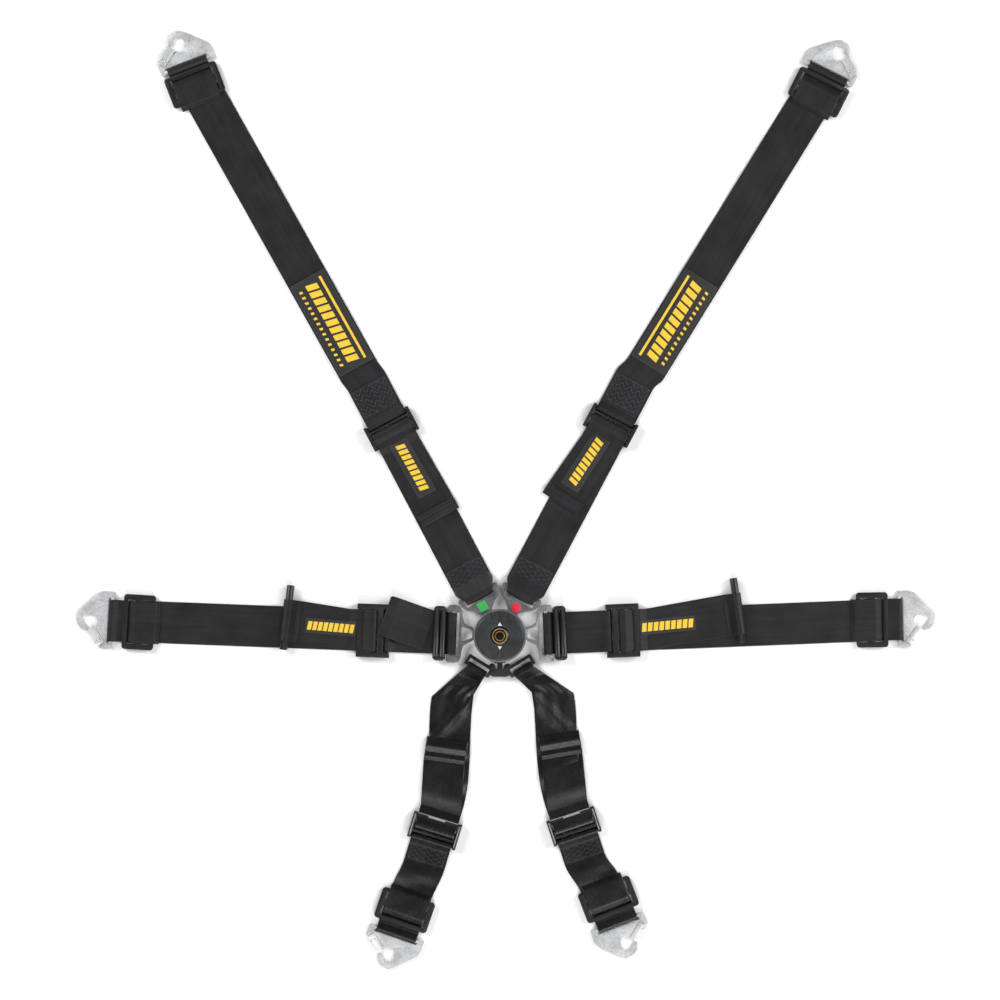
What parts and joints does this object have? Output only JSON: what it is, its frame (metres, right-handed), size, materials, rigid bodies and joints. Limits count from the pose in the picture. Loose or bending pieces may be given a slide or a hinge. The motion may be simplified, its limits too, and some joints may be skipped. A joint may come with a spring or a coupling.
{
  "type": "racing harness",
  "caption": "Multi-point racing harness laid flat: rotary quick-release buckle, tongues, webbing belts with adjusters, and snap hooks for chassis eye bolts.",
  "frame": {"origin": "on the buckle's axis, on the back face of its base plate; the harness lies flat on the plane z = 0", "axes": "+Z out of the buckle's knob, +Y from the buckle towards the shoulder belts, +X towards the belt on the right in the picture"},
  "size_m": [1.0301, 1.1257, 0.0294],
  "materials": {
    "webbing": "satin",
    "black_steel": "satin",
    "gloss_black": "gloss",
    "tongue_steel": "satin",
    "hook_zinc": "zinc plated",
    "spring_steel": "bright",
    "bright_steel": "ground",
    "housing_metal": "cast",
    "knob_metal": "anodised",
    "rod_plastic": "matte"
  },
  "bodies": {
    "buckle": {"buckle_base_plate": "housing_metal", "buckle_housing": "housing_metal", "lap_tongue_left": "tongue_steel"},
    "knob": {"release_knob": "knob_metal", "cam_spindle": "bright_steel"},
    "latch": {"lift_plate": "bright_steel", "latch_pins": "bright_steel", "latch_springs": "bright_steel"},
    "leg_tongue": {"leg_tongue": "black_steel"},
    "lap_tongue_right": {"lap_tongue_right": "tongue_steel"},
    "shoulder_tongue_left": {"shoulder_tongue_left": "tongue_steel"},
    "shoulder_strap_left": {"shoulder_strap_left": "webbing"},
    "shoulder_grip_left": {"shoulder_adjuster_bar_left": "black_steel"},
    "shoulder_tail_left": {"shoulder_tail_roll_left": "webbing"},
    "shoulder_belt_left": {"shoulder_adjuster_frame_left": "black_steel", "shoulder_belt_left": "webbing", "shoulder_end_slide_left": "black_steel"},
    "shoulder_hook_left": {"shoulder_hook_left": "hook_zinc"},
    "shoulder_keeper_left": {"shoulder_keeper_left": "spring_steel"},
    "lap_strap_left": {"lap_inner_strap_left": "webbing", "lap_bar_slide_left": "gloss_black", "lap_adjuster_frame_left": "black_steel"},
    "lap_grip_left": {"lap_adjuster_bar_left": "black_steel"},
    "lap_rod_left": {"lap_pull_rod_left": "rod_plastic"},
    "lap_belt_left": {"lap_belt_left": "webbing", "lap_end_slide_left": "black_steel"},
    "lap_hook_left": {"lap_hook_left": "hook_zinc"},
    "lap_keeper_left": {"lap_keeper_left": "spring_steel"},
    "leg_strap_left": {"leg_strap_left": "webbing"},
    "leg_tail_left": {"leg_tail_roll_left": "webbing"},
    "leg_slide_left": {"leg_adjuster_slide_left": "black_steel", "leg_belt_left": "webbing", "leg_end_slide_left": "black_steel"},
    "leg_hook_left": {"leg_hook_left": "hook_zinc"},
    "leg_keeper_left": {"leg_keeper_left": "spring_steel"},
    "shoulder_tongue_right": {"shoulder_tongue_right": "tongue_steel"},
    "shoulder_strap_right": {"shoulder_strap_right": "webbing"},
    "shoulder_grip_right": {"shoulder_adjuster_bar_right": "black_steel"},
    "shoulder_tail_right": {"shoulder_tail_roll_right": "webbing"},
    "shoulder_belt_right": {"shoulder_adjuster_frame_right": "black_steel", "shoulder_belt_right": "webbing", "shoulder_end_slide_right": "black_steel"},
    "shoulder_hook_right": {"shoulder_hook_right": "hook_zinc"},
    "shoulder_keeper_right": {"shoulder_keeper_right": "spring_steel"},
    "lap_strap_right": {"lap_inner_strap_right": "webbing", "lap_bar_slide_right": "gloss_black", "lap_adjuster_frame_right": "black_steel"},
    "lap_grip_right": {"lap_adjuster_bar_right": "black_steel"},
    "lap_rod_right": {"lap_pull_rod_right": "rod_plastic"},
    "lap_belt_right": {"lap_belt_right": "webbing", "lap_end_slide_right": "black_steel"},
    "lap_hook_right": {"lap_hook_right": "hook_zinc"},
    "lap_keeper_right": {"lap_keeper_right": "spring_steel"},
    "leg_strap_right": {"leg_strap_right": "webbing"},
    "leg_tail_right": {"leg_tail_roll_right": "webbing"},
    "leg_slide_right": {"leg_adjuster_slide_right": "black_steel", "leg_belt_right": "webbing", "leg_end_slide_right": "black_steel"},
    "leg_hook_right": {"leg_hook_right": "hook_zinc"},
    "leg_keeper_right": {"leg_keeper_right": "spring_steel"}
  },
  "joints": [
    {"name": "knob_turn", "type": "hinge", "parent": "buckle", "child": "knob", "pos_m": [0, 0, 0.02], "axis": [0, 0, 1], "range_deg": [0, 45], "stiffness_Nm_per_rad": 0.04},
    {"name": "latch_lift", "type": "slide", "parent": "buckle", "child": "latch", "axis": [0, 0, 1], "range_m": [0, 0.00522], "deforming": ["latch_springs"]},
    {"name": "shoulder_tongue_release_left", "type": "slide", "parent": "buckle", "child": "shoulder_tongue_left", "axis": [-0.4648, 0.8854, 0], "range_m": [0, 0.01855]},
    {"name": "shoulder_strap_swing_left", "type": "hinge", "parent": "shoulder_tongue_left", "child": "shoulder_strap_left", "pos_m": [-0.02501, 0.04763, 0.0064], "axis": [0.8854, 0.4648, 0], "range_deg": [-15, 60]},
    {"name": "shoulder_adjust_left", "type": "slide", "parent": "shoulder_strap_left", "child": "shoulder_grip_left", "axis": [0.4648, -0.8854, 0], "range_m": [-0.075, 0.03], "deforming": ["shoulder_strap_left"]},
    {"name": "shoulder_tail_run_left", "type": "slide", "parent": "shoulder_grip_left", "child": "shoulder_tail_left", "axis": [0.4894, -0.8721, 0], "range_m": [-0.076, 0.031]},
    {"name": "shoulder_grip_float_left", "type": "slide", "parent": "shoulder_grip_left", "child": "shoulder_belt_left", "axis": [-0.4648, 0.8854, 0], "range_m": [0, 0.0025]},
    {"name": "shoulder_hook_swing_left", "type": "hinge", "parent": "shoulder_belt_left", "child": "shoulder_hook_left", "pos_m": [-0.37515, 0.68446, 0.0035], "axis": [0.9336, 0.3584, 0], "range_deg": [-20, 60]},
    {"name": "shoulder_keeper_flex_left", "type": "hinge", "parent": "shoulder_hook_left", "child": "shoulder_keeper_left", "pos_m": [-0.40566, 0.68528, 0.00435], "axis": [0.8434, -0.5373, 0], "range_deg": [0, 25], "stiffness_Nm_per_rad": 0.3},
    {"name": "lap_strap_swing_left", "type": "hinge", "parent": "buckle", "child": "lap_strap_left", "pos_m": [-0.05596, 0.00215, 0.0064], "axis": [0.0384, 0.9993, 0], "range_deg": [-15, 60]},
    {"name": "lap_grip_float_left", "type": "slide", "parent": "lap_strap_left", "child": "lap_grip_left", "axis": [-0.9993, 0.0384, 0], "range_m": [0, 0.0025]},
    {"name": "lap_adjust_left", "type": "slide", "parent": "lap_grip_left", "child": "lap_belt_left", "axis": [0.9993, -0.0384, 0], "range_m": [-0.055, 0.06], "deforming": ["lap_belt_left"]},
    {"name": "lap_rod_run_left", "type": "slide", "parent": "lap_grip_left", "child": "lap_rod_left", "axis": [-0.993, 0.1184, 0], "range_m": [-0.056, 0.061]},
    {"name": "lap_hook_swing_left", "type": "hinge", "parent": "lap_belt_left", "child": "lap_hook_left", "pos_m": [-0.46596, 0.0179, 0.0035], "axis": [0.061, 0.9981, 0], "range_deg": [-20, 60]},
    {"name": "lap_keeper_flex_left", "type": "hinge", "parent": "lap_hook_left", "child": "lap_keeper_left", "pos_m": [-0.47936, -0.00953, 0.00435], "axis": [0.8387, 0.5446, 0], "range_deg": [0, 25], "stiffness_Nm_per_rad": 0.3},
    {"name": "leg_tongue_release", "type": "slide", "parent": "buckle", "child": "leg_tongue", "axis": [0, -1, 0], "range_m": [0, 0.0185]},
    {"name": "leg_strap_swing_left", "type": "hinge", "parent": "leg_tongue", "child": "leg_strap_left", "pos_m": [-0.0275, -0.0404, 0.0064], "axis": [-0.848, 0.5299, 0], "range_deg": [-15, 60]},
    {"name": "leg_adjust_left", "type": "slide", "parent": "leg_strap_left", "child": "leg_slide_left", "axis": [0.1323, 0.9912, 0], "range_m": [-0.045, 0.025], "deforming": ["leg_strap_left"]},
    {"name": "leg_tail_run_left", "type": "slide", "parent": "leg_slide_left", "child": "leg_tail_left", "axis": [0.1392, 0.9903, 0], "range_m": [-0.046, 0.026]},
    {"name": "leg_hook_swing_left", "type": "hinge", "parent": "leg_slide_left", "child": "leg_hook_left", "pos_m": [-0.1242, -0.3586, 0.0035], "axis": [-0.9461, 0.3239, 0], "range_deg": [-20, 60]},
    {"name": "leg_keeper_flex_left", "type": "hinge", "parent": "leg_hook_left", "child": "leg_keeper_left", "pos_m": [-0.15467, -0.36053, 0.00435], "axis": [-0.8231, -0.5678, 0], "range_deg": [0, 25], "stiffness_Nm_per_rad": 0.3},
    {"name": "shoulder_tongue_release_right", "type": "slide", "parent": "buckle", "child": "shoulder_tongue_right", "axis": [0.4664, 0.8846, 0], "range_m": [0, 0.01855]},
    {"name": "shoulder_strap_swing_right", "type": "hinge", "parent": "shoulder_tongue_right", "child": "shoulder_strap_right", "pos_m": [0.02509, 0.04759, 0.0064], "axis": [0.8846, -0.4664, 0], "range_deg": [-15, 60]},
    {"name": "shoulder_adjust_right", "type": "slide", "parent": "shoulder_strap_right", "child": "shoulder_grip_right", "axis": [-0.4664, -0.8846, 0], "range_m": [-0.065, 0.03], "deforming": ["shoulder_strap_right"]},
    {"name": "shoulder_tail_run_right", "type": "slide", "parent": "shoulder_grip_right", "child": "shoulder_tail_right", "axis": [-0.5446, -0.8387, 0], "range_m": [-0.076, 0.031]},
    {"name": "shoulder_grip_float_right", "type": "slide", "parent": "shoulder_grip_right", "child": "shoulder_belt_right", "axis": [0.4664, 0.8846, 0], "range_m": [0, 0.0025]},
    {"name": "shoulder_hook_swing_right", "type": "hinge", "parent": "shoulder_belt_right", "child": "shoulder_hook_right", "pos_m": [0.39387, 0.67461, 0.0035], "axis": [0.8942, -0.4478, 0], "range_deg": [-20, 60]},
    {"name": "shoulder_keeper_flex_right", "type": "hinge", "parent": "shoulder_hook_right", "child": "shoulder_keeper_right", "pos_m": [0.42433, 0.67245, 0.00435], "axis": [0.8918, 0.4524, 0], "range_deg": [0, 25], "stiffness_Nm_per_rad": 0.3},
    {"name": "lap_tongue_release_right", "type": "slide", "parent": "buckle", "child": "lap_tongue_right", "axis": [0.9992, 0.0401, 0], "range_m": [0, 0.01855]},
    {"name": "lap_strap_swing_right", "type": "hinge", "parent": "lap_tongue_right", "child": "lap_strap_right", "pos_m": [0.05595, 0.00225, 0.0064], "axis": [0.0401, -0.9992, 0], "range_deg": [-15, 60]},
    {"name": "lap_grip_float_right", "type": "slide", "parent": "lap_strap_right", "child": "lap_grip_right", "axis": [0.9992, 0.0401, 0], "range_m": [0, 0.0025]},
    {"name": "lap_adjust_right", "type": "slide", "parent": "lap_grip_right", "child": "lap_belt_right", "axis": [-0.9992, -0.0401, 0], "range_m": [-0.055, 0.06], "deforming": ["lap_belt_right"]},
    {"name": "lap_rod_run_right", "type": "slide", "parent": "lap_grip_right", "child": "lap_rod_right", "axis": [0.9895, 0.1444, 0], "range_m": [-0.056, 0.061]},
    {"name": "lap_hook_swing_right", "type": "hinge", "parent": "lap_belt_right", "child": "lap_hook_right", "pos_m": [0.47941, 0.01926, 0.0035], "axis": [0.0175, -0.9998, 0], "range_deg": [-20, 60]},
    {"name": "lap_keeper_flex_right", "type": "hinge", "parent": "lap_hook_right", "child": "lap_keeper_right", "pos_m": [0.4916, -0.00874, 0.00435], "axis": [0.8141, -0.5807, 0], "range_deg": [0, 25], "stiffness_Nm_per_rad": 0.3},
    {"name": "leg_strap_swing_right", "type": "hinge", "parent": "leg_tongue", "child": "leg_strap_right", "pos_m": [0.0275, -0.0404, 0.0064], "axis": [-0.848, -0.5299, 0], "range_deg": [-15, 60]},
    {"name": "leg_adjust_right", "type": "slide", "parent": "leg_strap_right", "child": "leg_slide_right", "axis": [-0.1564, 0.9877, 0], "range_m": [-0.045, 0.025], "deforming": ["leg_strap_right"]},
    {"name": "leg_tail_run_right", "type": "slide", "parent": "leg_slide_right", "child": "leg_tail_right", "axis": [-0.1668, 0.986, 0], "range_m": [-0.046, 0.026]},
    {"name": "leg_hook_swing_right", "type": "hinge", "parent": "leg_slide_right", "child": "leg_hook_right", "pos_m": [0.1413, -0.3455, 0.0035], "axis": [-0.9336, -0.3584, 0], "range_deg": [-20, 60]},
    {"name": "leg_keeper_flex_right", "type": "hinge", "parent": "leg_hook_right", "child": "leg_keeper_right", "pos_m": [0.17182, -0.34632, 0.00435], "axis": [-0.8434, 0.5373, 0], "range_deg": [0, 25], "stiffness_Nm_per_rad": 0.3}
  ],
  "couplings": [
    {"joint": "knob_turn", "follows": "leg_tongue_release", "rad_per_m": 42.454},
    {"joint": "latch_lift", "follows": "leg_tongue_release", "ratio": 0.28108},
    {"joint": "shoulder_tongue_release_left", "follows": "leg_tongue_release", "ratio": 1},
    {"joint": "shoulder_tail_run_left", "follows": "shoulder_adjust_left", "ratio": 1},
    {"joint": "lap_rod_run_left", "follows": "lap_adjust_left", "ratio": 1},
    {"joint": "leg_tail_run_left", "follows": "leg_adjust_left", "ratio": 1},
    {"joint": "shoulder_tongue_release_right", "follows": "leg_tongue_release", "ratio": 1},
    {"joint": "shoulder_tail_run_right", "follows": "shoulder_adjust_right", "ratio": 1},
    {"joint": "lap_tongue_release_right", "follows": "leg_tongue_release", "ratio": 1},
    {"joint": "lap_rod_run_right", "follows": "lap_adjust_right", "ratio": 1},
    {"joint": "leg_tail_run_right", "follows": "leg_adjust_right", "ratio": 1}
  ]
}
